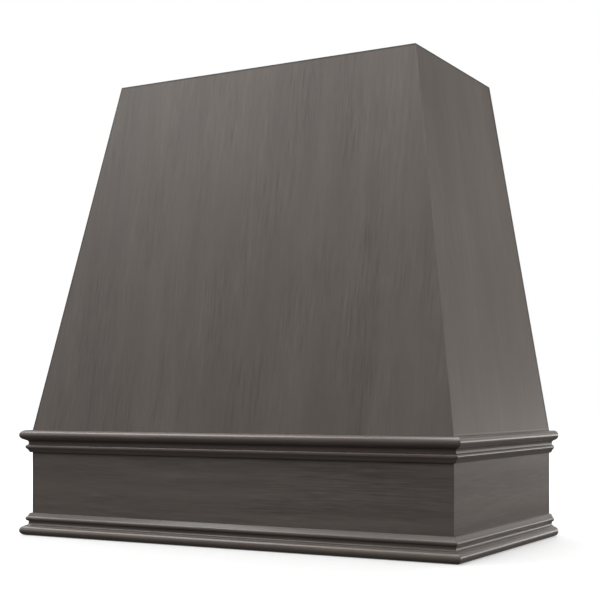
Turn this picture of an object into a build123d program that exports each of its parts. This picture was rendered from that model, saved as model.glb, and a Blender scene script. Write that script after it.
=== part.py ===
"""Wall-hung wooden range hood cover: a tapered shell on a mitred apron with two matching mouldings.

Millimetres. +Z is up, -Y faces the room, +Y faces the wall. The origin is at the middle of the
bottom of the whole cover, so the apron stands on Z = 0. Left and right are as seen from the room.
"""

import os
from math import atan, cos, pi, radians, sin, sqrt, tan

from build123d import *

# ---------------------------------------------------------------- driving dimensions

shell_width = 914.4  # 36 in, between the outer faces of the apron's sides
shell_depth = 495.3  # 19-1/2 in, apron's front face to the wall
shell_height = 914.4  # 36 in
top_width = 660.4  # 26 in, where the tapered body meets the ceiling
top_depth = 368.3  # 14-1/2 in
apron_height = 211.14  # 8-5/16 in, up to the seam where the taper starts

panel_thickness = 19.05  # 3/4 in veneered plywood
apron_thickness = 19.05
framing_thickness = 19.05  # cleats, rails, posts and stiles
shelf_thickness = 12.7  # 1/2 in plywood

moulding_height = 44.45  # 1-3/4 in
moulding_projection = 19.05  # nose tip from the apron's face
nose_radius = 9.525  # half-round nose, 3/4 in thick
quirk_height = 0.8  # small flat between the nose and the cove
cove_radius = 5.1
neck_height = 3.6  # flat between the cove and the bead
bead_radius = 5.0
bead_projection = 10.2  # bead tip from the apron's face
moulding_web = 5.7  # thickness behind the neck
shoulder_projection = 7.5  # where the bead meets the sloping face beside it
thin_edge = 3.9  # thickness at the end of that slope
thin_edge_radius = 1.2

rail_height = 88.9  # 3-1/2 in wall rails
top_rail_height = 63.5  # 2-1/2 in
stile_width = 38.1  # posts and stiles, 1-1/2 in
corner_block_leg = 38.1
seam_cleat_drop = 38.1  # below the seam, on the apron
seam_cleat_rise = 38.1  # above the seam, on the body
cleat_end_gap = 3.0  # seam cleats stop this far short of what they run up to
ledger_height = 19.05

shelf_recess = 38.1  # 1-1/2 in, shelf's underside above the apron's bottom edge
shelf_fit = 0.5  # gap between the shelf's edge and the boards round it
cutout_width = 711.2  # 28 in, for the insert's body
cutout_depth = 285.75  # 11-1/4 in
cutout_corner_radius = 12.7

stud_spacing = 406.4  # 16 in wall studs
wall_hole_radius = 3.5  # clears a 1/4 in lag screw

screw_head_radius = 4.2  # number 8 countersunk wood screw
screw_shank_radius = 2.1
screw_point = 5.0  # length of the tapered point
countersink_angle = 82
screw_sides = 12
screw_bite = 12.7  # how far a screw enters the second piece
screw_fit = 0.15  # gap round the shank and the head
pilot_spare = 1.0  # pilot hole past the screw's point
front_shelf_screws = 4  # along the front ledger, and again along the lower wall rail
side_shelf_screws = 2
rail_end_screws = 2  # at each end of each wall rail

# ---------------------------------------------------------------- places worked out from them

overall_depth = shell_depth + moulding_projection
wall_y = overall_depth / 2
apron_front_y = wall_y - shell_depth
apron_side_x = shell_width / 2
taper_height = shell_height - apron_height
side_slope = (shell_width - top_width) / 2 / taper_height
front_slope = (shell_depth - top_depth) / taper_height
# level thickness of a sloping panel: its thickness over the cosine of its lean
side_run = panel_thickness / cos(atan(side_slope))
front_run = panel_thickness / cos(atan(front_slope))

inner_x = apron_side_x - apron_thickness
inner_front_y = apron_front_y + apron_thickness
rail_front_y = wall_y - framing_thickness  # wall rails lie against the wall
stile_front_y = rail_front_y - framing_thickness  # posts and stiles stand in front of them

shelf_top = shelf_recess + shelf_thickness
ledger_top = shelf_top + ledger_height
lower_rail_top = shelf_top + rail_height
upper_rail_foot = shell_height - rail_height
top_rail_foot = shell_height - top_rail_height
cleat_top = apron_height + seam_cleat_rise

# a seam cleat's outer face clears both the board below the seam and the panel above it
front_cleat_y = apron_front_y + max(apron_thickness, front_run)
side_cleat_x = apron_side_x - max(apron_thickness, side_run)

ledger_back_y = inner_front_y + framing_thickness
cutout_centre_y = (ledger_back_y + rail_front_y) / 2

rail_screw_length = framing_thickness + screw_bite
shelf_screw_length = shelf_thickness + screw_bite

SIDES = {"left": -1, "right": 1}


def body_x(z):
    """Half the body's outer width at height z."""
    return apron_side_x - side_slope * (z - apron_height)


def body_front_y(z):
    """The body's outer front face at height z."""
    return apron_front_y + front_slope * (z - apron_height)


def body_inner_x(z):
    return body_x(z) - side_run


def body_inner_y(z):
    return body_front_y(z) + front_run


def spaced(count, start, end):
    """Places in the middle of each of count equal shares of the stretch from start to end."""
    return [start + (end - start) * (i + 0.5) / count for i in range(count)]


def save(part, name):
    part.label = name
    export_step(part, f"parts/{name}.step")


os.makedirs("parts", exist_ok=True)

# ---------------------------------------------------------------- where the screws sit
# Each seat is a plane on the surface that the screw's head is flush with, facing out of the wood.


def seats_rail_end(side, low, high, middle_x):
    """Screws driven forward through a wall rail's end into the post or stile in front of it."""
    heights = spaced(rail_end_screws, low, high)
    return [Plane((side * middle_x(z), wall_y, z), z_dir=(0, 1, 0)).location for z in heights]


def post_middle_x(z):
    return inner_x - stile_width / 2


def stile_middle_x(z):
    return body_inner_x(z) - stile_width / 2


def seats_under_shelf(points):
    """Screws driven up through the shelf."""
    return [Plane((x, y, shelf_recess), z_dir=(0, 0, -1)).location for x, y in points]


lower_rail_seats = {
    name: seats_rail_end(side, shelf_top, lower_rail_top, post_middle_x)
    for name, side in SIDES.items()
}
upper_rail_seats = {
    name: seats_rail_end(side, upper_rail_foot, shell_height, stile_middle_x)
    for name, side in SIDES.items()
}

front_ledger_y = (inner_front_y + ledger_back_y) / 2
lower_rail_y = (rail_front_y + wall_y) / 2
side_ledger_x = inner_x - framing_thickness / 2
shelf_screw_x = spaced(front_shelf_screws, -inner_x, inner_x)
shelf_screw_y = spaced(side_shelf_screws, ledger_back_y, stile_front_y)
front_shelf_seats = seats_under_shelf([(x, front_ledger_y) for x in shelf_screw_x])
back_shelf_seats = seats_under_shelf([(x, lower_rail_y) for x in shelf_screw_x])
side_shelf_seats = {
    name: seats_under_shelf([(side * side_ledger_x, y) for y in shelf_screw_y])
    for name, side in SIDES.items()
}

clear_radius = screw_shank_radius + screw_fit
sink_radius = screw_head_radius + screw_fit
rail_pilot_depth = rail_screw_length + pilot_spare
shelf_pilot_depth = shelf_screw_length + pilot_spare

wall_hole_x = (-stud_spacing / 2, stud_spacing / 2)


def wall_hole_seats(z):
    return [Plane((x, wall_y, z), z_dir=(0, 1, 0)).location for x in wall_hole_x]


# ---------------------------------------------------------------- sloping pieces


def corners(plan, low, high, *side):
    """Corners of a piece whose level section is plan(z) at every height z from low to high."""
    return [(x, y, z) for z in (low, high) for x, y in plan(z, *side)]


def rectangle_plan(start_x, end_x, start_y, end_y):
    return [(start_x, start_y), (end_x, start_y), (end_x, end_y), (start_x, end_y)]


# ---------------------------------------------------------------- body panels
# Compound mitres in front: the cut runs from the outer corner to the inner one at every height.


def front_panel_plan(z):
    return [
        (-body_x(z), body_front_y(z)),
        (body_x(z), body_front_y(z)),
        (body_inner_x(z), body_inner_y(z)),
        (-body_inner_x(z), body_inner_y(z)),
    ]


def side_panel_plan(z, side):
    return [
        (side * body_x(z), body_front_y(z)),
        (side * body_x(z), wall_y),
        (side * body_inner_x(z), wall_y),
        (side * body_inner_x(z), body_inner_y(z)),
    ]


with BuildPart() as front_panel:
    ConvexPolyhedron(corners(front_panel_plan, apron_height, shell_height))
save(front_panel.part, "front_panel")

for name, side in SIDES.items():
    with BuildPart() as side_panel:
        ConvexPolyhedron(corners(side_panel_plan, apron_height, shell_height, side))
    save(side_panel.part, f"{name}_side_panel")

# ---------------------------------------------------------------- apron boards, mitred in front

with BuildPart() as apron_front:
    with BuildSketch():
        with BuildLine():
            Polyline(
                (-apron_side_x, apron_front_y),
                (apron_side_x, apron_front_y),
                (inner_x, inner_front_y),
                (-inner_x, inner_front_y),
                close=True,
            )
        make_face()
    extrude(amount=apron_height)
save(apron_front.part, "apron_front")

for name, side in SIDES.items():
    with BuildPart() as apron_side:
        with BuildSketch():
            with BuildLine():
                Polyline(
                    (side * apron_side_x, apron_front_y),
                    (side * apron_side_x, wall_y),
                    (side * inner_x, wall_y),
                    (side * inner_x, inner_front_y),
                    close=True,
                )
            make_face()
        extrude(amount=apron_height)
    save(apron_side.part, f"apron_{name}")

# ---------------------------------------------------------------- mouldings
# The section lies with x out from the apron's face and y from the nose's flat end to the thin edge.

nose_centre_x = moulding_projection - nose_radius
quirk_x = moulding_web + cove_radius
nose_end_y = nose_radius + sqrt(nose_radius**2 - (quirk_x - nose_centre_x) ** 2)
cove_start_y = nose_end_y + quirk_height
neck_start_y = cove_start_y + cove_radius
bead_start_y = neck_start_y + neck_height
bead_centre_x = bead_projection - bead_radius
bead_centre_y = bead_start_y + sqrt(bead_radius**2 - (moulding_web - bead_centre_x) ** 2)
bead_end_y = bead_centre_y + sqrt(bead_radius**2 - (shoulder_projection - bead_centre_x) ** 2)
cove_middle = cove_radius / sqrt(2)

with BuildSketch() as moulding_section:
    with BuildLine():
        Line((0, 0), (nose_centre_x, 0))
        ThreePointArc(
            (nose_centre_x, 0), (moulding_projection, nose_radius), (quirk_x, nose_end_y)
        )
        Line((quirk_x, nose_end_y), (quirk_x, cove_start_y))
        ThreePointArc(
            (quirk_x, cove_start_y),
            (quirk_x - cove_middle, neck_start_y - cove_middle),
            (moulding_web, neck_start_y),
        )
        Line((moulding_web, neck_start_y), (moulding_web, bead_start_y))
        ThreePointArc(
            (moulding_web, bead_start_y),
            (bead_projection, bead_centre_y),
            (shoulder_projection, bead_end_y),
        )
        Line((shoulder_projection, bead_end_y), (thin_edge, moulding_height))
        Line((thin_edge, moulding_height), (0, moulding_height))
        Line((0, moulding_height), (0, 0))
    make_face()
    thin_end = moulding_section.vertices().group_by(Axis.Y)[-1]
    fillet(thin_end.sort_by(Axis.X)[-1], thin_edge_radius)

MITRES = {
    name: Plane((side * apron_side_x, apron_front_y, 0), z_dir=(side, 1, 0))
    for name, side in SIDES.items()
}
# height of the nose's flat end, and which way the section runs from it
COURSES = {"upper": (apron_height, -1), "lower": (0, 1)}

for course, (nose_z, run) in COURSES.items():
    across_front = Plane((0, apron_front_y, nose_z), x_dir=(0, -1, 0), z_dir=(-run, 0, 0))
    with BuildPart() as front_moulding:
        with BuildSketch(across_front):
            add(moulding_section.sketch)
        extrude(amount=apron_side_x + moulding_projection, both=True)
        for mitre in MITRES.values():
            split(bisect_by=mitre, keep=Keep.BOTTOM)
    save(front_moulding.part, f"{course}_moulding_front")

    for name, side in SIDES.items():
        along_side = Plane(
            (side * apron_side_x, wall_y, nose_z), x_dir=(side, 0, 0), z_dir=(0, -side * run, 0)
        )
        with BuildPart() as side_moulding:
            with BuildSketch(along_side):
                add(moulding_section.sketch)
            extrude(amount=overall_depth, dir=(0, -1, 0))
            split(bisect_by=MITRES[name], keep=Keep.TOP)
        save(side_moulding.part, f"{course}_moulding_{name}")

# ---------------------------------------------------------------- top rails


def top_rail_front_plan(z):
    inner_y = body_inner_y(z)
    return rectangle_plan(-body_inner_x(z), body_inner_x(z), inner_y, inner_y + framing_thickness)


def top_rail_side_plan(z, side):
    outer_x = body_inner_x(z)
    front_y = body_inner_y(z) + framing_thickness
    return rectangle_plan(side * outer_x, side * (outer_x - framing_thickness), front_y, stile_front_y)


with BuildPart() as top_rail_front:
    ConvexPolyhedron(corners(top_rail_front_plan, top_rail_foot, shell_height))
save(top_rail_front.part, "top_rail_front")

for name, side in SIDES.items():
    with BuildPart() as top_rail_side:
        ConvexPolyhedron(corners(top_rail_side_plan, top_rail_foot, shell_height, side))
    save(top_rail_side.part, f"top_rail_{name}")

# ---------------------------------------------------------------- wall rails, with the stud holes


def upper_wall_rail_plan(z):
    return rectangle_plan(-body_inner_x(z), body_inner_x(z), rail_front_y, wall_y)


with BuildPart() as upper_wall_rail:
    ConvexPolyhedron(corners(upper_wall_rail_plan, upper_rail_foot, shell_height))
    with Locations(*wall_hole_seats((upper_rail_foot + shell_height) / 2)):
        Hole(wall_hole_radius, depth=framing_thickness)
    with Locations(*upper_rail_seats["left"], *upper_rail_seats["right"]):
        CounterSinkHole(clear_radius, sink_radius, framing_thickness, countersink_angle)
save(upper_wall_rail.part, "upper_wall_rail")

with BuildPart() as lower_wall_rail:
    with BuildSketch(Plane.XY.offset(shelf_top)):
        with Locations((0, lower_rail_y)):
            Rectangle(2 * inner_x, framing_thickness)
    extrude(amount=rail_height)
    with Locations(*wall_hole_seats((shelf_top + lower_rail_top) / 2)):
        Hole(wall_hole_radius, depth=framing_thickness)
    with Locations(*lower_rail_seats["left"], *lower_rail_seats["right"]):
        CounterSinkHole(clear_radius, sink_radius, framing_thickness, countersink_angle)
    with Locations(*back_shelf_seats):
        Hole(clear_radius, depth=shelf_pilot_depth)
save(lower_wall_rail.part, "lower_wall_rail")

# ---------------------------------------------------------------- posts and stiles at the back


def body_stile_plan(z, side):
    outer_x = body_inner_x(z)
    return rectangle_plan(side * outer_x, side * (outer_x - stile_width), stile_front_y, rail_front_y)


for name, side in SIDES.items():
    with BuildPart() as apron_post:
        with BuildSketch(Plane.XY.offset(shelf_top)):
            with Locations((side * post_middle_x(shelf_top), (stile_front_y + rail_front_y) / 2)):
                Rectangle(stile_width, framing_thickness)
        extrude(amount=apron_height - shelf_top)
        with Locations(*lower_rail_seats[name]):
            Hole(clear_radius, depth=rail_pilot_depth)
    save(apron_post.part, f"apron_post_{name}")

    with BuildPart() as body_stile:
        ConvexPolyhedron(corners(body_stile_plan, apron_height, shell_height, side))
        with Locations(*upper_rail_seats[name]):
            Hole(clear_radius, depth=rail_pilot_depth)
    save(body_stile.part, f"body_stile_{name}")

# ---------------------------------------------------------------- glue blocks in the front corners


def corner_triangle(corner_x, corner_y, side):
    return [
        (side * corner_x, corner_y),
        (side * (corner_x - corner_block_leg), corner_y),
        (side * corner_x, corner_y + corner_block_leg),
    ]


def body_corner_block_plan(z, side):
    return corner_triangle(body_inner_x(z), body_inner_y(z), side)


for name, side in SIDES.items():
    with BuildPart() as body_corner_block:
        ConvexPolyhedron(corners(body_corner_block_plan, apron_height, top_rail_foot, side))
    save(body_corner_block.part, f"body_corner_block_{name}")

    with BuildPart() as apron_corner_block:
        with BuildSketch(Plane.XY.offset(ledger_top)):
            with BuildLine():
                Polyline(*corner_triangle(inner_x, inner_front_y, side), close=True)
            make_face()
        extrude(amount=apron_height - ledger_top)
    save(apron_corner_block.part, f"apron_corner_block_{name}")

# ---------------------------------------------------------------- cleats across the seam
# Square below the seam, against the apron, and planed to the body's slope above it.


def cleat_section(slope):
    """Section of a seam cleat: x into the shell from the cleat's outer face, y up from the seam."""
    with BuildSketch() as section:
        with BuildLine():
            Polyline(
                (0, -seam_cleat_drop),
                (framing_thickness, -seam_cleat_drop),
                (framing_thickness, seam_cleat_rise),
                (slope * seam_cleat_rise, seam_cleat_rise),
                (0, 0),
                close=True,
            )
        make_face()
    return section.sketch


front_cleat_half = body_inner_x(cleat_top) - corner_block_leg - cleat_end_gap
side_cleat_front_y = body_inner_y(cleat_top) + corner_block_leg + cleat_end_gap
side_cleat_back_y = stile_front_y - cleat_end_gap

with BuildPart() as seam_cleat_front:
    with BuildSketch(Plane((0, front_cleat_y, apron_height), x_dir=(0, 1, 0), z_dir=(1, 0, 0))):
        add(cleat_section(front_slope))
    extrude(amount=front_cleat_half, both=True)
save(seam_cleat_front.part, "seam_cleat_front")

for name, side in SIDES.items():
    with BuildPart() as seam_cleat_side:
        with BuildSketch(
            Plane(
                (side * side_cleat_x, side_cleat_front_y, apron_height),
                x_dir=(-side, 0, 0),
                z_dir=(0, side, 0),
            )
        ):
            add(cleat_section(side_slope))
        extrude(amount=side_cleat_back_y - side_cleat_front_y, dir=(0, 1, 0))
    save(seam_cleat_side.part, f"seam_cleat_{name}")

# ---------------------------------------------------------------- ledgers that the shelf hangs from

with BuildPart() as ledger_front:
    with BuildSketch(Plane.XY.offset(shelf_top)):
        with Locations((0, front_ledger_y)):
            Rectangle(2 * inner_x, framing_thickness)
    extrude(amount=ledger_height)
    with Locations(*front_shelf_seats):
        Hole(clear_radius, depth=shelf_pilot_depth)
save(ledger_front.part, "ledger_front")

for name, side in SIDES.items():
    with BuildPart() as ledger_side:
        with BuildSketch(Plane.XY.offset(shelf_top)):
            with Locations((side * side_ledger_x, (ledger_back_y + stile_front_y) / 2)):
                Rectangle(framing_thickness, stile_front_y - ledger_back_y)
        extrude(amount=ledger_height)
        with Locations(*side_shelf_seats[name]):
            Hole(clear_radius, depth=shelf_pilot_depth)
    save(ledger_side.part, f"ledger_{name}")

# ---------------------------------------------------------------- shelf for the ventilation insert

shelf_width = 2 * (inner_x - shelf_fit)
shelf_depth = wall_y - inner_front_y - 2 * shelf_fit

with BuildPart() as insert_shelf:
    with BuildSketch(Plane.XY.offset(shelf_recess)):
        with Locations((0, (inner_front_y + wall_y) / 2)):
            Rectangle(shelf_width, shelf_depth)
        with Locations((0, cutout_centre_y)):
            RectangleRounded(cutout_width, cutout_depth, cutout_corner_radius, mode=Mode.SUBTRACT)
    extrude(amount=shelf_thickness)
    with Locations(
        *front_shelf_seats, *back_shelf_seats, *side_shelf_seats["left"], *side_shelf_seats["right"]
    ):
        CounterSinkHole(clear_radius, sink_radius, shelf_thickness, countersink_angle)
save(insert_shelf.part, "insert_shelf")

# ---------------------------------------------------------------- screws


def ring(radius, z):
    """Points round the local Z axis: a screw has few sides, because it is small."""
    turns = [2 * pi * i / screw_sides for i in range(screw_sides)]
    return [(radius * cos(turn), radius * sin(turn), z) for turn in turns]


def wood_screw(length):
    """A countersunk wood screw: head flush with the local XY plane, point towards -Z."""
    head_depth = (screw_head_radius - screw_shank_radius) / tan(radians(countersink_angle / 2))
    neck = ring(screw_shank_radius, -head_depth)
    shoulder = ring(screw_shank_radius, screw_point - length)
    with BuildPart() as screw:
        ConvexPolyhedron(ring(screw_head_radius, 0) + neck)
        ConvexPolyhedron(neck + shoulder)
        ConvexPolyhedron(shoulder + [(0, 0, -length)])
    return screw.part


with BuildPart() as rail_screws:
    for name in SIDES:
        with Locations(*lower_rail_seats[name], *upper_rail_seats[name]):
            add(wood_screw(rail_screw_length))
save(rail_screws.part, "rail_screws")

with BuildPart() as shelf_screws:
    with Locations(*front_shelf_seats, *back_shelf_seats):
        add(wood_screw(shelf_screw_length))
    for name in SIDES:
        with Locations(*side_shelf_seats[name]):
            add(wood_screw(shelf_screw_length))
save(shelf_screws.part, "shelf_screws")
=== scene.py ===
"""A wooden range hood cover on a pale floor: stained outside, bare framing and plywood inside."""

import math
import random

import bmesh
import bpy
import numpy as np
from mathutils import Euler, Matrix, Vector


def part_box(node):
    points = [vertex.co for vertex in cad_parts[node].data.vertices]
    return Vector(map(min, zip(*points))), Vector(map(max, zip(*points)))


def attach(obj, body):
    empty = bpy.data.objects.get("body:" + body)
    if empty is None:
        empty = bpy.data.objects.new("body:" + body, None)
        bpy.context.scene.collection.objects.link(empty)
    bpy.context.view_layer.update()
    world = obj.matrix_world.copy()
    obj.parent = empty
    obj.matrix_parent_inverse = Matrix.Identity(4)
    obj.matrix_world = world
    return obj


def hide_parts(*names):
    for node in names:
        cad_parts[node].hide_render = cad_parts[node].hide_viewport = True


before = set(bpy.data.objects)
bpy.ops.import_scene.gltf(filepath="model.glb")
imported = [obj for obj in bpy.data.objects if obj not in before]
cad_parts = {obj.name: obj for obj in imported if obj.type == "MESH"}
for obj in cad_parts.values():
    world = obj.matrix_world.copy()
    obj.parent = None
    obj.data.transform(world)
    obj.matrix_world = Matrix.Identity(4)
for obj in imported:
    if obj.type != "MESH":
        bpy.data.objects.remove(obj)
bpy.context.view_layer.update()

MM = 0.001


# ---------------------------------------------------------------- sizes read from the frame

UP = Vector((0, 0, 1))
# The way that a board's best face looks, by the first of these words that is in its name.
FACING = {
    "front": Vector((0, -1, 0)),
    "left": Vector((-1, 0, 0)),
    "right": Vector((1, 0, 0)),
    "wall": Vector((0, 1, 0)),
    "shelf": Vector((0, 0, -1)),
}
UPRIGHT = ("panel", "post", "stile", "block")  # words in the names of boards with upright grain
SAME_WAY = 0.9  # least cosine between a face's normal and the way that its board faces

WALL_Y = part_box("left_side_panel")[1].y
BODY_FOOT_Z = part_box("front_panel")[0].z
TOP_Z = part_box("front_panel")[1].z


def points(node):
    """A node's vertices, one row each, in metres."""
    return np.array([vertex.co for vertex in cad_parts[node].data.vertices])


def shell_at(node, level):
    """Half the width and the front of a cover's shell at one level, from its front board."""
    near = [p for p in points(node) if abs(p[2] - level) < MM]
    return max(p[0] for p in near), min(p[1] for p in near)


class Shell:
    """The outer planes of the body or the apron: half its width and its front, each a line in Z."""

    def __init__(self, front_board):
        low, high = (corner.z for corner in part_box(front_board))
        half_low, front_low = shell_at(front_board, low)
        half_high, front_high = shell_at(front_board, high)
        rise = high - low
        self.half_slope = (half_high - half_low) / rise
        self.half_start = half_low - self.half_slope * low
        self.front_slope = (front_high - front_low) / rise
        self.front_start = front_low - self.front_slope * low


BODY = Shell("front_panel")
APRON = Shell("apron_front")


class Board:
    """Where a board lies: across it, into it from its best face, and along its grain."""

    def __init__(self, node):
        facing = next(way for word, way in FACING.items() if word in node)
        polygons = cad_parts[node].data.polygons
        faces = [face for face in polygons if face.normal.dot(facing) > SAME_WAY]
        self.normal = max(faces, key=lambda face: face.area).normal.copy() if faces else facing
        cloud = points(node)
        middle = (cloud[:, 2].max() + cloud[:, 2].min()) / 2
        if any(word in node for word in UPRIGHT):
            rise = cloud[cloud[:, 2] > middle].mean(0) - cloud[cloud[:, 2] <= middle].mean(0)
            along = Vector(rise)
        elif abs(self.normal.z) > SAME_WAY:
            along = Vector((1, 0, 0))
        else:
            along = self.normal.cross(UP)
        self.along = (along - along.dot(self.normal) * self.normal).normalized()
        self.across = self.along.cross(self.normal).normalized()
        self.face = max(cloud @ np.array(self.normal))
        self.thickness = self.face - min(cloud @ np.array(self.normal))
        self.middle = Vector((cloud.max(0) + cloud.min(0)) / 2)

    def turn(self):
        """The rotation from the row frame to across, into and along."""
        return Matrix((self.across, -self.normal, self.along)).to_euler()


# ---------------------------------------------------------------- node trees

# How far each seed moves a board through the noise, across it and along it, in metres.
SEED_ACROSS = 0.37
SEED_ALONG = 1.93


class Nodes:
    """Builds one material's nodes. A number or a socket may stand wherever a value is wanted."""

    def __init__(self, name):
        self.material = bpy.data.materials.new(name)
        self.material.use_nodes = True
        self.tree = self.material.node_tree
        self.tree.nodes.clear()
        self.place = self.add("ShaderNodeTexCoord").outputs["Object"]

    def add(self, kind, inputs=(), **settings):
        """One node, with its settings made and its inputs fed."""
        node = self.tree.nodes.new(kind)
        for name, value in settings.items():
            setattr(node, name, value)
        for socket, value in dict(inputs).items():
            if isinstance(value, bpy.types.NodeSocket):
                self.tree.links.new(value, node.inputs[socket])
            else:
                node.inputs[socket].default_value = value
        return node

    def maths(self, operation, *values, clamp=False):
        """One Math node on numbers or sockets."""
        node = self.add("ShaderNodeMath", enumerate(values), operation=operation, use_clamp=clamp)
        return node.outputs[0]

    def fade(self, value, start, end, low=0.0, high=1.0):
        """A smooth change from low to high as value goes from start to end."""
        inputs = {"Value": value, "From Min": start, "From Max": end, "To Min": low, "To Max": high}
        return self.add("ShaderNodeMapRange", inputs, interpolation_type="SMOOTHSTEP").outputs[0]

    def mix(self, share, first, second, blend_type="MIX"):
        """Two colours mixed by a share."""
        inputs = {0: share, 6: first, 7: second}
        node = self.add("ShaderNodeMix", inputs, data_type="RGBA", blend_type=blend_type)
        return node.outputs[2]

    def scaled(self, vector, scale):
        """A vector with each part multiplied."""
        inputs = {0: vector, 1: scale}
        return self.add("ShaderNodeVectorMath", inputs, operation="MULTIPLY").outputs[0]

    def noise(self, vector, per_metre, detail=2.0, roughness=0.5, distortion=0.0):
        """Noise whose patches repeat about so many times per metre along each axis, 0 to 1."""
        inputs = {
            "Vector": self.scaled(vector, per_metre),
            "Scale": 1.0,
            "Detail": detail,
            "Roughness": roughness,
            "Distortion": distortion,
        }
        return self.add("ShaderNodeTexNoise", inputs).outputs[0]

    def board(self, board, seed):
        """A point's place on its board: x across, y in from the best face, z along the grain."""
        start = (seed * SEED_ACROSS, board.face, seed * SEED_ALONG)
        inputs = {"Vector": self.place, "Location": start, "Rotation": board.turn()}
        return self.add("ShaderNodeMapping", inputs, vector_type="POINT").outputs[0]

    def parts(self, vector):
        """The three parts of a vector."""
        return self.add("ShaderNodeSeparateXYZ", {0: vector}).outputs

    def finish(self, colour, roughness, height, depth, **shader):
        """The shader, with a bump of so many metres between the lowest and highest of height."""
        bump = self.add("ShaderNodeBump", {"Height": height, "Distance": depth, "Strength": 1.0})
        inputs = {"Base Color": colour, "Roughness": roughness, "Normal": bump.outputs[0], **shader}
        principled = self.add("ShaderNodeBsdfPrincipled", inputs)
        self.add("ShaderNodeOutputMaterial", {"Surface": principled.outputs[0]})
        return self.material


# ---------------------------------------------------------------- stain

STAIN_DARK = (0.080, 0.068, 0.060, 1)
STAIN_LIGHT = (0.153, 0.133, 0.118, 1)
STAIN_WARM = (0.142, 0.108, 0.096, 1)
# The pooled tone is real pooled stain at edges and joints, and also painted shade in the mouldings'
# hollows. The worn tone is a little worn stain, and also a painted highlight on the right corner,
# the side panels' foot and the mouldings' noses.
POOLED_STAIN_AND_SHADE = (0.030, 0.026, 0.023, 1)
WORN_STAIN_AND_HIGHLIGHT = (0.240, 0.205, 0.172, 1)

# Patches per metre across, into and along a board.
FLECKS = (260, 260, 17)
FIBRES = (900, 900, 18)
PORES = (1400, 1400, 70)
BUSY_PATCHES = (11, 11, 5)
WARM_PATCHES = (5, 5, 2.2)
EDGE_PATCHES = (30, 30, 9)
FILM_PATCHES = (14, 14, 5)

# Where stain gathers at an edge, and where a painted highlight with a little worn stain lies along
# the right corner: the distance at which it starts, and the distance at which it is full. A
# distance from the wall counts for only WALL_SHARE of itself.
EDGE_REACH = (4.5 * MM, 2.2 * MM)
CORNER_REACH = (1.6 * MM, 0.3 * MM)
WALL_SHARE = 0.4

FLAT_SATIN = {"Specular IOR Level": 0.4}
FLAT_ROUGHNESS = 0.46
EDGE_SATIN = {"Specular IOR Level": 0.5, "Coat Weight": 0.7, "Coat Roughness": 0.17}
EDGE_ROUGHNESS = 0.38
SHEEN_SPREAD = 0.08
BARE_ROUGHER = 0.15  # how much rougher a board's bare inner face is


def stain_figure(n, board, width, length, broad, close):
    """The tone of stained wood, dark 0 to light 1, and the height of its grain.

    Its streaks are about width by length, in metres. The strength of its wide figure is broad, and
    that of its fine figure close, which is stronger in some patches than in others.
    """
    blotch = n.noise(board, (0.35 / width, 0.35 / width, 0.4 / length), detail=2.0)
    streak = n.noise(board, (1 / width, 1 / width, 1 / length), detail=3.0, roughness=0.55)
    fine = n.noise(board, (6 / width, 6 / width, 3 / length), detail=3.0, roughness=0.6)
    fleck = n.noise(board, FLECKS, detail=2.0, roughness=0.6)
    fibre = n.noise(board, FIBRES, detail=2.0, roughness=0.6)
    pores = n.fade(n.noise(board, PORES, detail=1.0), 0.68, 0.78)
    tone, texture = 0.5, 0.0
    for part, weight in ((blotch, 1.1), (streak, 0.9)):
        tone = n.maths("MULTIPLY_ADD", n.maths("SUBTRACT", part, 0.5), weight * broad, tone)
    for part, weight in ((fine, 0.7), (fleck, 0.75), (fibre, 0.45)):
        texture = n.maths("MULTIPLY_ADD", n.maths("SUBTRACT", part, 0.5), weight * close, texture)
    busy = n.fade(n.noise(board, BUSY_PATCHES, detail=2.0), 0.35, 0.65, 0.45, 1.45)
    tone = n.maths("MULTIPLY_ADD", texture, busy, tone)
    tone = n.maths("MULTIPLY_ADD", pores, -0.22, tone, clamp=True)
    height = n.maths("MULTIPLY_ADD", pores, -0.7, n.maths("MULTIPLY", fibre, 0.6))
    return tone, height


def stain_colour(n, board, tone):
    """Grey-brown stain by tone, with patches a little warmer."""
    colour = n.mix(tone, STAIN_DARK, STAIN_LIGHT)
    warmth = n.fade(n.noise(board, WARM_PATCHES, detail=1.0), 0.45, 0.8, high=0.28)
    return n.mix(warmth, colour, n.mix(tone, STAIN_DARK, STAIN_WARM))


def from_corner(n, shell, side):
    """How far a point of the shell lies from its left (-1) or its right (1) front corner."""
    x, y, z = n.parts(n.place)
    half = n.maths("MULTIPLY_ADD", z, shell.half_slope, shell.half_start)
    front = n.maths("MULTIPLY_ADD", z, shell.front_slope, shell.front_start)
    beside = n.maths("MULTIPLY_ADD", x, -side, half)
    return n.maths("MAXIMUM", beside, n.maths("SUBTRACT", y, front))


def edge_distance(n, shell, from_top=None):
    """How far a point lies from the nearest of the shell's left corner, the wall and the top."""
    from_wall = n.maths("SUBTRACT", WALL_Y, n.parts(n.place)[1])
    back = n.maths("MULTIPLY", from_wall, WALL_SHARE)
    nearest = n.maths("MINIMUM", from_corner(n, shell, -1), back)
    return nearest if from_top is None else n.maths("MINIMUM", nearest, from_top)


def edge_stain(n, board, colour, distance):
    """Stain gathered along an edge."""
    patch = n.fade(n.noise(board, EDGE_PATCHES, detail=3.0), 0.25, 0.6, 0.5, 0.85)
    darkened = n.maths("MULTIPLY", n.fade(distance, *EDGE_REACH), patch)
    return n.mix(darkened, colour, POOLED_STAIN_AND_SHADE)


def corner_highlight_and_wear(n, board, colour, shell):
    """A painted highlight along the right corner, with the stain rubbed a little thin there."""
    patch = n.fade(n.noise(board, EDGE_PATCHES, detail=3.0), 0.35, 0.7, 0.1, 0.45)
    # painted highlight along the lit right corner, mixed with a little rubbed stain
    rubbed_and_highlight = n.maths("MULTIPLY", n.fade(from_corner(n, shell, 1), *CORNER_REACH), patch)
    return n.mix(rubbed_and_highlight, colour, WORN_STAIN_AND_HIGHLIGHT)


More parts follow.
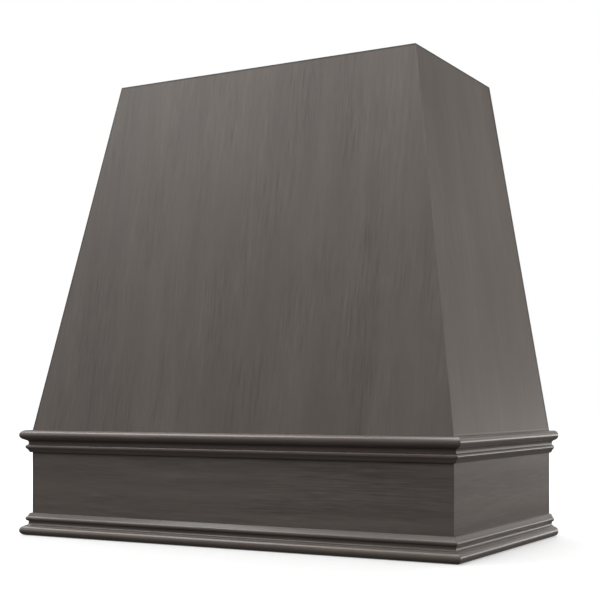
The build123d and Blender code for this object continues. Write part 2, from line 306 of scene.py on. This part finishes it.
def sheen(n, board, tone, level):
    """Satin roughness: pooled stain shines a little more than open grain."""
    film = n.noise(board, FILM_PATCHES, detail=3.0)
    rough = n.maths("MULTIPLY_ADD", n.maths("SUBTRACT", film, 0.5), SHEEN_SPREAD, level)
    open_grain = n.maths("SUBTRACT", tone, 0.5)
    return n.maths("MULTIPLY_ADD", open_grain, SHEEN_SPREAD * 0.6, rough, clamp=True)


# ---------------------------------------------------------------- stained boards

FACE_VENEER = (1.2 * MM, 0.6 * MM)  # depths between which the plies give way to the outer veneer
BARE_SKIN = (0.5 * MM, 0.2 * MM)  # the same for the bare inner face, measured from that face
FLAT_BUMP = 0.06 * MM

# A painted highlight line near a side panel's foot: its height above the foot, and its reach.
FOOT_HIGHLIGHT = 2.4 * MM
FOOT_HIGHLIGHT_REACH = (1.6 * MM, 0.4 * MM)


def stained_board(n, spot, board, tone, colour, height, bare, bare_height):
    """The finish of a flat stained board whose inner face is bare."""
    skin_start, skin_end = (board.thickness - depth for depth in BARE_SKIN)
    inside = n.fade(n.parts(spot)[1], skin_start, skin_end)
    rough = n.maths("MULTIPLY_ADD", inside, BARE_ROUGHER, sheen(n, spot, tone, FLAT_ROUGHNESS))
    colour = n.mix(inside, colour, bare)
    height = n.mix(inside, height, bare_height)
    return n.finish(colour, rough, height, FLAT_BUMP, **FLAT_SATIN)


def body_panel(name, board, seed):
    """Veneered plywood: stained outside and on its edges, bare inside."""
    n = Nodes(name)
    spot = n.board(board, seed)
    tone, height = stain_figure(n, spot, width=0.045, length=0.36, broad=0.8, close=0.95)
    z = n.parts(n.place)[2]
    rim = edge_distance(n, BODY, n.maths("SUBTRACT", TOP_Z, z))
    colour = edge_stain(n, spot, stain_colour(n, spot, tone), rim)
    colour = corner_highlight_and_wear(n, spot, colour, BODY)
    # Side panels: a painted highlight line just above the foot.
    if name != "front_panel":
        foot = n.maths("ABSOLUTE", n.maths("SUBTRACT", z, BODY_FOOT_Z + FOOT_HIGHLIGHT))
        colour = n.mix(n.fade(foot, *FOOT_HIGHLIGHT_REACH, high=0.4), colour, WORN_STAIN_AND_HIGHLIGHT)
    plies = n.fade(ply_layers(n, spot, board.thickness), 0.0, 1.0, 0.1, 0.7)
    edge = n.mix(0.35, n.mix(plies, STAIN_DARK, STAIN_LIGHT), POOLED_STAIN_AND_SHADE)
    colour = n.mix(n.fade(n.parts(spot)[1], *FACE_VENEER), edge, colour)
    return stained_board(n, spot, board, tone, colour, height, *birch(n, spot))


def apron_board(name, board, seed):
    """A solid board with level grain, stained outside and bare inside."""
    n = Nodes(name)
    spot = n.board(board, seed)
    tone, height = stain_figure(n, spot, width=0.018, length=0.30, broad=1.1, close=1.25)
    colour = edge_stain(n, spot, stain_colour(n, spot, tone), edge_distance(n, APRON))
    colour = corner_highlight_and_wear(n, spot, colour, APRON)
    bare, _, bare_height = softwood(n, spot, board, seed)
    return stained_board(n, spot, board, tone, colour, height, bare, bare_height)


# ---------------------------------------------------------------- mouldings
# A height is along a moulding's back, from its nose's flat end. How proud a point is, is how far it
# stands out from the apron.

# Painted shade in the grooves beside the nose and beside the bead: height, half width, and share of
# the shade colour.
GROOVE_SHADE = {
    "upper": ((19.8 * MM, 2.0 * MM, 0.15), (29.3 * MM, 1.4 * MM, 0.4)),
    "lower": ((20.6 * MM, 3.0 * MM, 0.5), (29.8 * MM, 1.7 * MM, 0.75)),
}
GROOVE_SHADE_CORE = 0.3 * MM  # half width at which a groove's painted shade is full
# Bands of painted shade: the nose's underside edge and the sloping face of the lower front length,
# and the top of the nose on the side upper lengths. The height at which it starts, that at which it
# is full, share.
SHADE_BANDS = {
    "lower_moulding_front": ((3.0 * MM, 0.5 * MM, 0.6), (39.0 * MM, 44.0 * MM, 0.3)),
    "upper_moulding_left": ((5.0 * MM, 2.0 * MM, 0.5),),
    "upper_moulding_right": ((5.0 * MM, 2.0 * MM, 0.5),),
}
SLOPE = (37.0 * MM, 40.0 * MM)  # heights between which the bead gives way to the sloping face
HOLLOW = (19.0 * MM, 28.5 * MM)  # heights of the hollow, which a cloth doesn't polish
HOLLOW_COAT = -0.6  # added to the coat's weight there
# How proud a point is where the painted shade near the apron starts and where it is full, and the
# same for the nose's painted highlight with rubbed stain.
SHADE_NEAR_APRON = (7.0 * MM, 1.5 * MM)
CREST = (17.5 * MM, 19.0 * MM)
MITRE_LINE = (0.8 * MM, 0.2 * MM)
MOULDING_BUMP = 0.05 * MM
CREST_PATCHES = (40, 40, 6)
TINT_PATCHES = (6, 6, 3)

# How much redder each length takes the stain, and the colour of the painted shade in its hollows.
LENGTH_TINT = {
    "upper_moulding_front": ((1.08, 0.96, 0.965, 1), (0.041, 0.022, 0.020, 1)),
    "lower_moulding_front": ((1.06, 0.98, 0.93, 1), (0.034, 0.026, 0.020, 1)),
}
SIDE_TINT = ((1.02, 0.995, 0.975, 1), POOLED_STAIN_AND_SHADE)


def section_height(n, name, z):
    """How far a point lies from the nose's flat end, along a moulding's back."""
    low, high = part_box(name)
    if "upper" in name:
        return n.maths("SUBTRACT", high.z, z)
    return n.maths("SUBTRACT", z, low.z)


def painted_shade_share(n, name, proud, from_nose):
    """The share of painted shade: near the apron, in the grooves, and in some bands."""
    off_slope = n.maths("SUBTRACT", 1.0, n.fade(from_nose, *SLOPE))
    shade_share = n.maths("MULTIPLY", n.fade(proud, *SHADE_NEAR_APRON, high=0.4), off_slope)
    for groove, reach, share in GROOVE_SHADE[name.split("_")[0]]:
        apart = n.maths("ABSOLUTE", n.maths("SUBTRACT", from_nose, groove))
        shade_share = n.maths("MAXIMUM", shade_share, n.fade(apart, reach, GROOVE_SHADE_CORE, high=share))
    for start, end, share in SHADE_BANDS.get(name, ()):
        shade_share = n.maths("MAXIMUM", shade_share, n.fade(from_nose, start, end, high=share))
    return shade_share


def hollow_coat(n, from_nose):
    """The coat's weight, less in the hollow between the nose and the bead."""
    start, end = HOLLOW
    entered = n.fade(from_nose, start - MM, start)
    not_left = n.fade(from_nose, end, end - MM)
    hollow = n.maths("MULTIPLY", entered, not_left)
    return n.maths("MULTIPLY_ADD", hollow, HOLLOW_COAT, EDGE_SATIN["Coat Weight"])


def moulding(name, board, seed):
    """A solid stained moulding: painted shade in its hollows, and a painted highlight with a little
    rubbed stain on its nose.
    """
    n = Nodes(name)
    spot = n.board(board, seed)
    tone, height = stain_figure(n, spot, width=0.012, length=0.26, broad=0.7, close=0.7)
    x, y, z = n.parts(n.place)
    beside = n.maths("SUBTRACT", n.maths("ABSOLUTE", x), APRON.half_start)
    before = n.maths("SUBTRACT", APRON.front_start, y)
    proud = n.maths("MAXIMUM", beside, before)
    from_nose = section_height(n, name, z)
    tint, darkened = LENGTH_TINT.get(name, SIDE_TINT)
    # painted shade in the hollows, the grooves, near the apron and in some bands
    shade_share = painted_shade_share(n, name, proud, from_nose)
    colour = n.mix(shade_share, stain_colour(n, spot, tone), darkened)
    from_mitre = n.maths("ABSOLUTE", n.maths("SUBTRACT", beside, before))
    colour = n.mix(n.fade(from_mitre, *MITRE_LINE, high=0.6), colour, POOLED_STAIN_AND_SHADE)
    # painted highlight on the nose's crest, with a little rubbed stain
    patch = n.fade(n.noise(spot, CREST_PATCHES, detail=3.0), 0.5, 0.75, high=0.3)
    rubbed_and_highlight = n.maths("MULTIPLY", n.fade(proud, *CREST), patch)
    colour = n.mix(rubbed_and_highlight, colour, WORN_STAIN_AND_HIGHLIGHT)
    strength = n.fade(n.noise(spot, TINT_PATCHES, detail=1.0), 0.3, 0.7, 0.6, 1.0)
    colour = n.mix(strength, colour, tint, "MULTIPLY")
    satin = dict(EDGE_SATIN)
    if "upper" in name:
        satin["Coat Weight"] = hollow_coat(n, from_nose)
    rough = sheen(n, spot, tone, EDGE_ROUGHNESS)
    return n.finish(colour, rough, height, MOULDING_BUMP, **satin)


# ---------------------------------------------------------------- bare wood

RING_SPACING = 4.2 * MM
PITH_DEPTH = 75 * MM  # behind the face
PITH_ASIDE = 8 * MM  # from the board's middle
RING_WANDER = 45 * MM
RING_DRIFT = (3, 3, 1.2)
RING_SHARPNESS = 2.5  # the power by which early wood darkens to late wood

SOFTWOOD_EARLY = ((0.41, 0.285, 0.165, 1), (0.48, 0.36, 0.225, 1))
SOFTWOOD_LATE = (0.30, 0.18, 0.085, 1)
SOFTWOOD_FIBRE = (0.25, 0.155, 0.08, 1)
SOFTWOOD_FIBRES = (700, 700, 16)
SOFTWOOD_STREAKS = (25, 25, 1.5)
SOFTWOOD_BUMP = 0.12 * MM

BIRCH_TONES = ((0.41, 0.31, 0.20, 1), (0.50, 0.41, 0.29, 1))
BIRCH_FIBRE = (0.31, 0.215, 0.125, 1)
BIRCH_SWIRLS = (9, 9, 1.6)
BIRCH_FIBRES = (800, 800, 22)
END_GRAIN = ((0.30, 0.19, 0.10, 1), (0.46, 0.32, 0.19, 1))
END_GRAIN_SPECKS = (260, 260, 260)
PLIES = 9
PLY_CORE = (0.6 * MM, 1.0 * MM)  # depths under either face between which its veneer ends
PLYWOOD_BUMP = 0.08 * MM

BARE_SATIN = {"Specular IOR Level": 0.3}


def growth_rings(n, spot):
    """Growth rings round a pith behind the face: 0 in early wood, 1 in late wood."""
    inputs = {"Vector": n.scaled(spot, RING_DRIFT), "Scale": 1.0, "Detail": 2.0}
    drift = n.add("ShaderNodeTexNoise", inputs)
    shift_x, shift_y, _ = n.parts(drift.outputs["Color"])
    x, y, _ = n.parts(spot)
    x = n.maths("MULTIPLY_ADD", shift_x, RING_WANDER, x)
    y = n.maths("MULTIPLY_ADD", shift_y, RING_WANDER, n.maths("SUBTRACT", y, PITH_DEPTH))
    square = n.maths("MULTIPLY_ADD", x, x, n.maths("MULTIPLY", y, y))
    turn = n.maths("DIVIDE", n.maths("SQRT", square), RING_SPACING)
    return n.maths("POWER", n.maths("FRACT", turn), RING_SHARPNESS)


def softwood(n, spot, board, seed):
    """Bare planed softwood: its colour, fibres and grain height."""
    centre = (-board.middle.dot(board.across) - seed * SEED_ACROSS + PITH_ASIDE, 0, 0)
    centred = n.add("ShaderNodeVectorMath", {0: spot, 1: centre}, operation="ADD").outputs[0]
    rings = growth_rings(n, centred)
    fibre = n.noise(spot, SOFTWOOD_FIBRES, detail=3.0, roughness=0.6)
    early = n.mix(n.noise(spot, SOFTWOOD_STREAKS, detail=3.0), *SOFTWOOD_EARLY)
    colour = n.mix(n.maths("MULTIPLY", rings, 0.6), early, SOFTWOOD_LATE)
    colour = n.mix(n.fade(fibre, 0.35, 0.8, high=0.35), colour, SOFTWOOD_FIBRE)
    height = n.maths("MULTIPLY_ADD", rings, 0.5, n.maths("MULTIPLY", fibre, 0.7))
    return colour, fibre, height


def raw_wood(name, board, seed):
    """A bare softwood board."""
    n = Nodes(name)
    colour, fibre, height = softwood(n, n.board(board, seed), board, seed)
    rough = n.fade(fibre, 0.2, 0.8, 0.58, 0.72)
    return n.finish(colour, rough, height, SOFTWOOD_BUMP, **BARE_SATIN)


def ply_layers(n, spot, thickness):
    """Alternate plies: about 0 where the grain runs along, 1 where it shows its ends."""
    layer = n.maths("MULTIPLY", n.parts(spot)[1], PLIES / thickness)
    return n.fade(n.maths("PINGPONG", layer, 1.0), 0.35, 0.65)


def birch(n, spot):
    """Bare rotary-cut birch veneer: colour and grain height."""
    swirl = n.noise(spot, BIRCH_SWIRLS, detail=4.0, roughness=0.55, distortion=1.2)
    fibre = n.noise(spot, BIRCH_FIBRES, detail=2.0)
    colour = n.mix(n.fade(swirl, 0.3, 0.7), *BIRCH_TONES)
    colour = n.mix(n.fade(fibre, 0.4, 0.8, high=0.3), colour, BIRCH_FIBRE)
    return colour, fibre


def plywood(name, board, seed):
    """A birch plywood sheet: plies and glue lines on its edges, veneer on its faces."""
    n = Nodes(name)
    spot = n.board(board, seed)
    face, height = birch(n, spot)
    specks = n.noise(spot, END_GRAIN_SPECKS, detail=3.0, roughness=0.7)
    half = board.thickness / 2
    from_middle = n.maths("ABSOLUTE", n.maths("SUBTRACT", n.parts(spot)[1], half))
    core = n.fade(from_middle, half - PLY_CORE[0], half - PLY_CORE[1])
    ends = n.maths("MULTIPLY", ply_layers(n, spot, board.thickness), core)
    colour = n.mix(ends, face, n.mix(specks, *END_GRAIN))
    rough = n.fade(height, 0.2, 0.8, 0.55, 0.7)
    return n.finish(colour, rough, height, PLYWOOD_BUMP, **BARE_SATIN)


# ---------------------------------------------------------------- zinc

ZINC_TONES = ((0.55, 0.53, 0.47, 1), (0.72, 0.71, 0.66, 1))
ZINC_CLOUDS = (300, 300, 300)
ZINC_MARKS = (2500, 2500, 400)
ZINC_BUMP = 0.02 * MM


def zinc():
    """Bright zinc plating with a faint passivated tint and fine handling marks."""
    n = Nodes("zinc")
    marks = n.noise(n.place, ZINC_MARKS, detail=2.0)
    colour = n.mix(n.noise(n.place, ZINC_CLOUDS, detail=3.0), *ZINC_TONES)
    rough = n.fade(marks, 0.3, 0.7, 0.26, 0.42)
    return n.finish(colour, rough, marks, ZINC_BUMP, Metallic=1.0)


# ---------------------------------------------------------------- wood screws
# A screw is built along Z with its head's flat face at 0 and its point downwards.

SCREW_FACING = {"rail_screws": Vector((0, 1, 0)), "shelf_screws": Vector((0, 0, -1))}
SIDES = 24  # points in every ring: four arms of the recess times six
SHANK = 2.1 * MM
CORE = 1.45 * MM  # radius at the bottom of the thread
NECK = 2.4 * MM  # below the head's flat face
PLAIN_SHARE = 0.25  # of the shank, from the neck down, that has no thread
PITCH = 2.5 * MM
THREAD_HALF = 0.3  # half the width of the thread's ridge, of its pitch
STEPS_PER_TURN = 6
POINT = 5.0 * MM  # length of the taper to the tip
WELDED = 0.001 * MM  # distance within which two of the CAD mesh's vertices are one
ON_RIM = 0.01 * MM  # distance within which a vertex lies on the head's flat face

# The cross recess upwards from its foot: half an arm's width, its reach, and its height, in mm.
RECESS = ((0.30, 0.7, -1.9), (0.45, 1.5, -1.2), (0.60, 2.1, -0.08), (0.68, 2.2, 0))
RECESS_FOOT = -2.15 * MM
ARM_BULGE = 1.06  # the middle of an arm's end, of its reach
ARM_CORNER = 0.9  # the width of an arm's end, of the arm's
# The head's edge, rounded: how far inside the head's radius, and its height, in mm.
HEAD_EDGE = ((0.30, 0), (0.16, -0.05), (0.14, -0.14))


def islands(work):
    """The separate solids of a mesh, each as the list of its vertices' places."""
    found, seen = [], set()
    for start in work.verts:
        if start in seen:
            continue
        island, queue = [], [start]
        seen.add(start)
        while queue:
            vertex = queue.pop()
            island.append(vertex.co)
            for edge in vertex.link_edges:
                other = edge.other_vert(vertex)
                if other not in seen:
                    seen.add(other)
                    queue.append(other)
        found.append(island)
    return found


def screw_heads(node):
    """Each solid of a node of screws: the middle of its head's face, its radius and its length."""
    work = bmesh.new()
    work.from_mesh(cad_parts[node].data)
    bmesh.ops.remove_doubles(work, verts=work.verts, dist=WELDED)
    facing = SCREW_FACING[node]
    heads = []
    for island in islands(work):
        levels = [point.dot(facing) for point in island]
        top = max(levels)
        rim = [point for point, level in zip(island, levels) if top - level < ON_RIM]
        middle = sum(rim, Vector()) / len(rim)
        radius = max((point - middle).length for point in rim)
        heads.append((middle, radius, top - min(levels)))
    work.free()
    return sorted(heads, key=lambda head: tuple(round(part, 4) for part in head[0]))


def round_ring(radius, z, angles):
    """Points on a circle."""
    return [Vector((radius * math.cos(a), radius * math.sin(a), z)) for a in angles]


def cross_ring(half, reach, z):
    """The outline of a cross recess: six points to each arm, starting in a corner between arms."""
    side = (half + reach) / 2
    arm = [
        (half, -half),
        (side, -half),
        (reach, -half * ARM_CORNER),
        (reach * ARM_BULGE, 0),
        (reach, half * ARM_CORNER),
        (side, half),
    ]
    turns = [Matrix.Rotation(quarter * math.pi / 2, 3, "Z") for quarter in range(4)]
    return [turn @ Vector((x, y, z)) for turn in turns for x, y in arm]


def thread_ring(depth, start, taper, angles):
    """One ring of the thread, which is cut to its full depth as start goes from 0 to 1."""
    ring = []
    for angle in angles:
        phase = (depth / PITCH + angle / math.tau) % 1.0
        crest = max(0.0, 1 - abs(phase - 0.5) / THREAD_HALF)
        reach = taper * (CORE + (SHANK - CORE) * (crest * start + (1 - start)))
        ring.append(Vector((reach * math.cos(angle), reach * math.sin(angle), -depth)))
    return ring


def screw_rings(radius, length):
    """A countersunk screw's rings from its recess over its head and down to its point."""
    angles = [math.radians(-45 + 360 * i / SIDES) for i in range(SIDES)]
    rings = [cross_ring(half * MM, reach * MM, z * MM) for half, reach, z in RECESS]
    rings += [round_ring(radius - inside * MM, z * MM, angles) for inside, z in HEAD_EDGE]
    plain_end = NECK + (length - NECK) * PLAIN_SHARE
    rings += [round_ring(SHANK, -NECK, angles), round_ring(SHANK, -plain_end, angles)]
    steps = math.ceil((length - plain_end) / PITCH * STEPS_PER_TURN)
    for step in range(1, steps):
        depth = plain_end + (length - plain_end) * step / steps
        start = min(1.0, step / STEPS_PER_TURN)
        taper = min(1.0, (length - depth) / POINT)
        rings.append(thread_ring(depth, start, taper, angles))
    return rings


def build_screws(name, node, draw):
    """Detailed screws where a node's plain ones are."""
    out = bmesh.new()
    facing = SCREW_FACING[node]
    for middle, radius, length in screw_heads(node):
        spin = Matrix.Rotation(draw.uniform(0, math.tau), 3, "Z")
        turn = facing.to_track_quat("Z", "Y").to_matrix() @ spin
        rings = screw_rings(radius, length)
        rows = [[out.verts.new(middle + turn @ spot) for spot in ring] for ring in rings]
        foot, tip = (out.verts.new(middle + turn @ (UP * z)) for z in (RECESS_FOOT, -length))
        for i in range(SIDES):
            j = (i + 1) % SIDES
            out.faces.new((foot, rows[0][i], rows[0][j]))
            for upper, lower in zip(rows, rows[1:]):
                out.faces.new((upper[i], lower[i], lower[j], upper[j]))
            out.faces.new((rows[-1][i], tip, rows[-1][j]))
    bmesh.ops.recalc_face_normals(out, faces=out.faces)
    mesh = bpy.data.meshes.new(name)
    out.to_mesh(mesh)
    out.free()
    piece = bpy.data.objects.new(name, mesh)
    bpy.context.scene.collection.objects.link(piece)
    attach(piece, "root")
    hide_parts(node)
    return piece


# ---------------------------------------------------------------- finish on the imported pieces

# What makes a piece's material, by a word in its name. The other pieces are bare softwood.
MAKERS = {
    "panel": body_panel,
    "apron_front": apron_board,
    "apron_left": apron_board,
    "apron_right": apron_board,
    "moulding": moulding,
    "insert_shelf": plywood,
}
STAINED = (body_panel, apron_board, moulding)
STAINED_EASE = 0.35 * MM
BARE_EASE = 0.8 * MM
FLAT_ANGLE = math.radians(0.3)  # triangles that meet at less are one face
SHARP_ANGLE = math.radians(35)  # edges where faces meet at more are eased

# Added to these pieces' seeds, so that their broad streaks fall most like the photograph's.
FIGURE_SHIFT = {
    "front_panel": 4.6,
    "right_side_panel": 14.6,
    "apron_right": 6.9,
    "lower_moulding_front": 12.3,
}


def maker_of(node):
    """The function that makes a node's material."""
    for word, maker in MAKERS.items():
        if word in node:
            return maker
    return raw_wood


def ease_edges(piece, width):
    """Softens a board's sharp edges by a small round, as sanding does.

    Welding its triangles and dissolving the flat ones first leaves the round real edges to follow.
    """
    weld = piece.modifiers.new("weld", "WELD")
    weld.merge_threshold = 0.01 * MM
    plain = piece.modifiers.new("plain", "DECIMATE")
    plain.decimate_type = "DISSOLVE"
    plain.angle_limit = FLAT_ANGLE
    ease = piece.modifiers.new("ease", "BEVEL")
    ease.width = width
    ease.segments = 2
    ease.limit_method = "ANGLE"
    ease.angle_limit = SHARP_ANGLE
    ease.use_clamp_overlap = True
    smooth = piece.modifiers.new("smooth", "WEIGHTED_NORMAL")
    smooth.weight = 80


def dress(piece, material):
    """Puts a material in every slot of a piece."""
    if not piece.data.materials:
        piece.data.materials.append(material)
    for slot in piece.material_slots:
        slot.material = material


for number, name in enumerate(sorted(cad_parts)):
    if name in SCREW_FACING:
        continue
    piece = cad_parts[name]
    maker = maker_of(name)
    seed = number + FIGURE_SHIFT.get(name, 0.0)
    dress(piece, maker(name, Board(name), seed))
    ease_edges(piece, STAINED_EASE if maker in STAINED else BARE_EASE)

ZINC = zinc()
TURNS = random.Random(8)
for name, node in (("rail_wood_screws", "rail_screws"), ("shelf_wood_screws", "shelf_screws")):
    dress(build_screws(name, node, TURNS), ZINC)


# ---------------------------------------------------------------- floor, light and camera

FLOOR_REACH = 15.0
FLOOR_Z = -0.3 * MM  # just below the cover's foot, so that no two faces share a plane
FLOOR_TONES = ((0.44, 0.44, 0.44, 1), (0.48, 0.48, 0.48, 1))
FLOOR_PATCHES = (2, 2, 2)
FLOOR_GLOW = (0.5, 2.5, 0.42, 1.0)  # its own light: between two distances, from and to a strength

ROOM_LEVEL = 0.13
# How the room's light grows, of that level, from directions below the horizon to those above it.
ROOM_RISE = (("From Min", -0.3), ("From Max", 0.4), ("To Min", 0.55), ("To Max", 1.3))

CENTRE = (0, 0, 0.45)
LOW_RIGHT = (0.45, 0, 0.25)
WHITE = 0.0
WARM = 0.06

# Softboxes: name, place, aim, size, power and warmth.
LIGHTS = (
    ("overhead", (0, 0, 3.2), CENTRE, (2.0, 2.0), 55, WHITE),
    ("overhead_back", (0, 1.7, 2.8), (0, 0, 0.35), (2.6, 1.0), 66, WHITE),
    ("overhead_front", (0.3, -1.8, 3.0), CENTRE, (2.4, 2.0), 41.5, WHITE),
    ("overhead_left", (-1.8, -1.2, 2.6), CENTRE, (1.4, 1.4), 27, WHITE),
    ("left_high", (-2.8, 0.0, 1.7), CENTRE, (1.2, 1.2), 32, WHITE),
    ("left_front", (-3.0, -2.4, 1.4), CENTRE, (1.8, 1.8), 8, WHITE),
    ("right_low", (2.6, 0.55, 0.35), CENTRE, (1.4, 0.6), 21, WARM),
    ("right_front", (2.6, -3.0, 1.8), CENTRE, (1.6, 1.6), 28, WARM),
    ("back_low", (1.0, 3.6, 0.27), (0.4, 0, 0.25), (4.0, 0.44), 11.5, WARM),
    ("back_middle", (0.5, 3.6, 1.0), (0.4, 0, 0.3), (2.4, 0.5), 1.5, WARM),
    ("back_right", (1.6, 2.8, 1.5), LOW_RIGHT, (1.6, 0.6), 1.8, WARM),
    ("back_right_low", (2.0, 3.0, 0.45), LOW_RIGHT, (1.6, 0.5), 1.6, WARM),
)

# The photograph's camera, solved from its corners and silhouettes.
EYE = (1.2586, -2.1774, 0.2705)
EYE_HEADING = 29.464  # degrees from +Y towards -X
LENS = 75.22
SENSOR = 36.0
LENS_RISE = 0.1679


def floor():
    """A plain pale floor that fades into the backdrop and throws no light up at the cover."""
    mesh = bpy.data.meshes.new("floor")
    signs = ((-1, -1), (1, -1), (1, 1), (-1, 1))
    corners = [(x * FLOOR_REACH, y * FLOOR_REACH, FLOOR_Z) for x, y in signs]
    mesh.from_pydata(corners, [], [(0, 1, 2, 3)])
    plane = bpy.data.objects.new("floor", mesh)
    bpy.context.scene.collection.objects.link(plane)
    n = Nodes("floor")
    shade = n.noise(n.place, FLOOR_PATCHES, detail=2.0)
    away = n.add("ShaderNodeVectorMath", {0: n.place}, operation="LENGTH").outputs["Value"]
    glow = n.fade(away, *FLOOR_GLOW)
    lit = {"Specular IOR Level": 0.1, "Emission Color": (1, 1, 1, 1), "Emission Strength": glow}
    dress(plane, n.finish(n.mix(shade, *FLOOR_TONES), 0.9, shade, 0.01 * MM, **lit))
    plane.visible_diffuse = False
    plane.visible_glossy = False


def softbox(name, place, aim, size, power, warmth):
    """A rectangular area light at a place, aimed at a point, white or a little warm."""
    lamp = bpy.data.lights.new(name, "AREA")
    lamp.color = (1, 1 - 0.5 * warmth, 1 - warmth)
    lamp.shape = "RECTANGLE"
    lamp.size, lamp.size_y = size
    lamp.energy = power
    box = bpy.data.objects.new(name, lamp)
    box.location = place
    box.rotation_euler = (Vector(aim) - Vector(place)).to_track_quat("-Z", "Y").to_euler()
    bpy.context.scene.collection.objects.link(box)


def surroundings():
    """A white backdrop to the camera and to the object a dim room, darker below."""
    world = bpy.data.worlds.new("studio")
    world.use_nodes = True
    tree = world.node_tree
    tree.nodes.clear()
    ray = tree.nodes.new("ShaderNodeLightPath")
    mix = tree.nodes.new("ShaderNodeMixShader")
    way = tree.nodes.new("ShaderNodeSeparateXYZ")
    tree.links.new(tree.nodes.new("ShaderNodeTexCoord").outputs["Generated"], way.inputs[0])
    rise = tree.nodes.new("ShaderNodeMapRange")
    for socket, value in ROOM_RISE:
        rise.inputs[socket].default_value = value
    tree.links.new(way.outputs["Z"], rise.inputs["Value"])
    room = tree.nodes.new("ShaderNodeBackground")
    room.inputs["Strength"].default_value = ROOM_LEVEL
    tree.links.new(rise.outputs[0], room.inputs["Color"])
    backdrop = tree.nodes.new("ShaderNodeBackground")
    backdrop.inputs[0].default_value = (1, 1, 1, 1)
    out = tree.nodes.new("ShaderNodeOutputWorld")
    tree.links.new(ray.outputs["Is Camera Ray"], mix.inputs[0])
    tree.links.new(room.outputs[0], mix.inputs[1])
    tree.links.new(backdrop.outputs[0], mix.inputs[2])
    tree.links.new(mix.outputs[0], out.inputs[0])
    bpy.context.scene.world = world


def camera():
    """The photograph's view: level, from the front and right, with its horizon low in the frame."""
    data = bpy.data.cameras.new("camera")
    data.lens = LENS
    data.sensor_width = SENSOR
    data.shift_y = LENS_RISE
    data.clip_end = 60
    eye = bpy.data.objects.new("camera", data)
    eye.location = EYE
    eye.rotation_euler = Euler((math.radians(90), 0, math.radians(EYE_HEADING)))
    bpy.context.scene.collection.objects.link(eye)
    bpy.context.scene.camera = eye


floor()
surroundings()
for light in LIGHTS:
    softbox(*light)
camera()
bpy.context.scene.view_settings.view_transform = "Standard"
